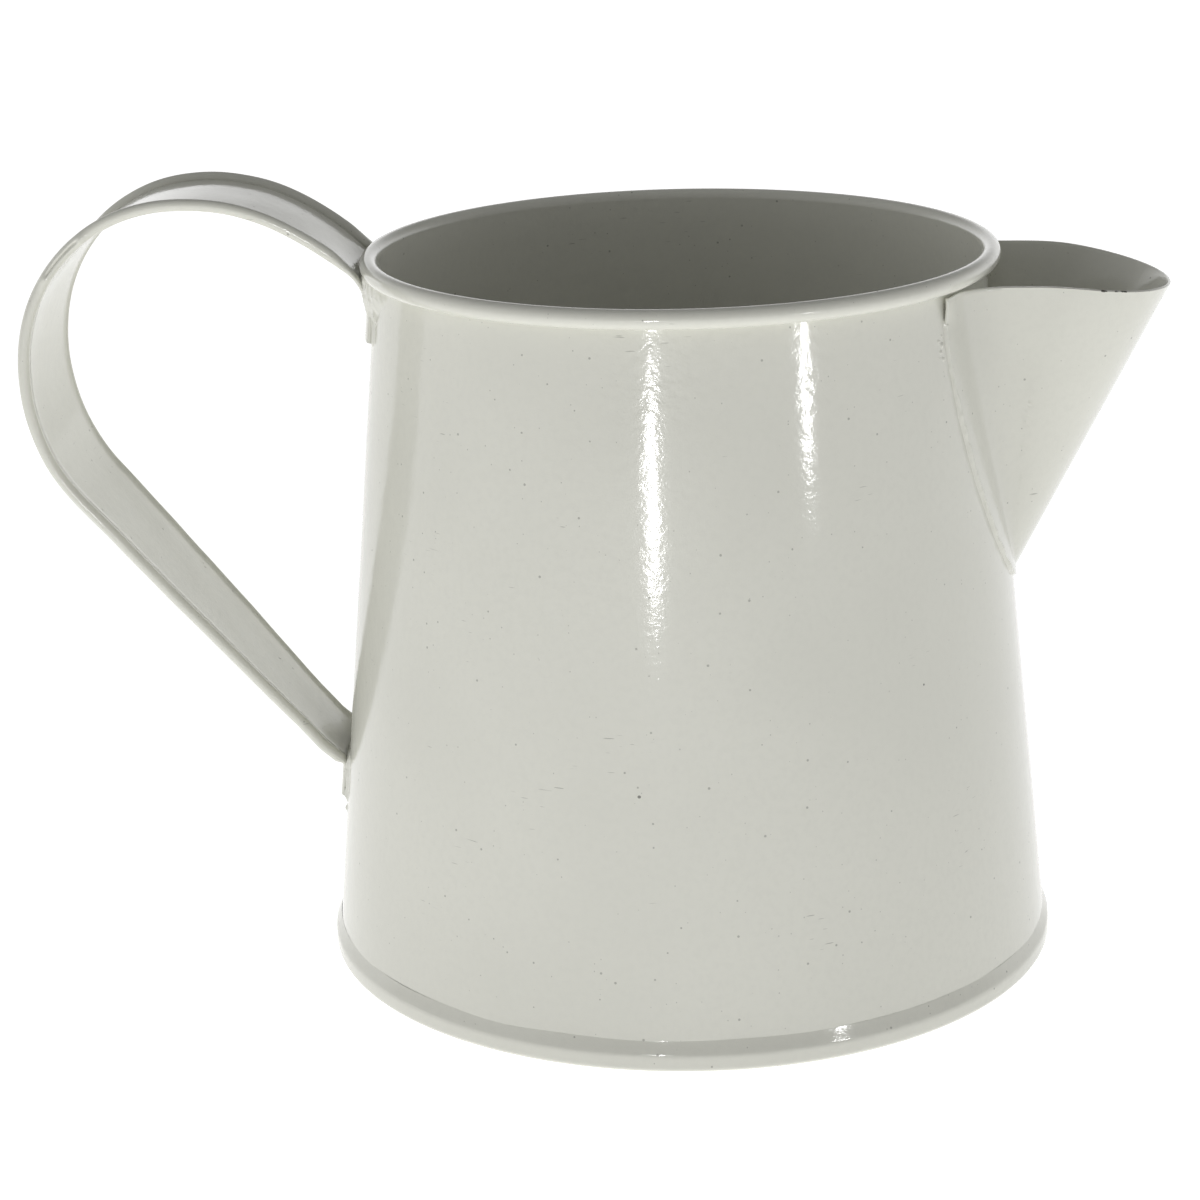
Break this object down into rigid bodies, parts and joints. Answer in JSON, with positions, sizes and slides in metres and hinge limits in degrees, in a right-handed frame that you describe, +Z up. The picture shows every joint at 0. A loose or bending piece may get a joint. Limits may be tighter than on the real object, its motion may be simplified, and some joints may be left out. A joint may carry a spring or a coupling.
{
  "type": "watering can",
  "caption": "Small jug-shaped watering can in painted sheet steel: conical body with a wired rim, open beak spout and strap handle.",
  "frame": {"origin": "on the body's axis, in the plane of the foot that the can stands on", "axes": "+X towards the spout, with the handle at -X, +Z up, +Y to the left of someone who looks along +X"},
  "size_m": [0.1826, 0.12, 0.1263],
  "materials": {
    "paint": "glossy pale cream-grey paint with fine orange peel and dust specks",
    "solder_paint": "the same paint over lumpy solder",
    "bare_steel": "plain drawn wire"
  },
  "bodies": {
    "root": {"body_wall": "paint", "rim_wire": "bare_steel", "base_disc": "paint", "base_seam_solder": "solder_paint", "side_seam_solder": "solder_paint", "spout": "paint", "spout_solder_left": "solder_paint", "spout_solder_right": "solder_paint", "handle_strap": "paint", "handle_top_solder": "solder_paint", "handle_foot_solder": "solder_paint"}
  },
  "joints": []
}
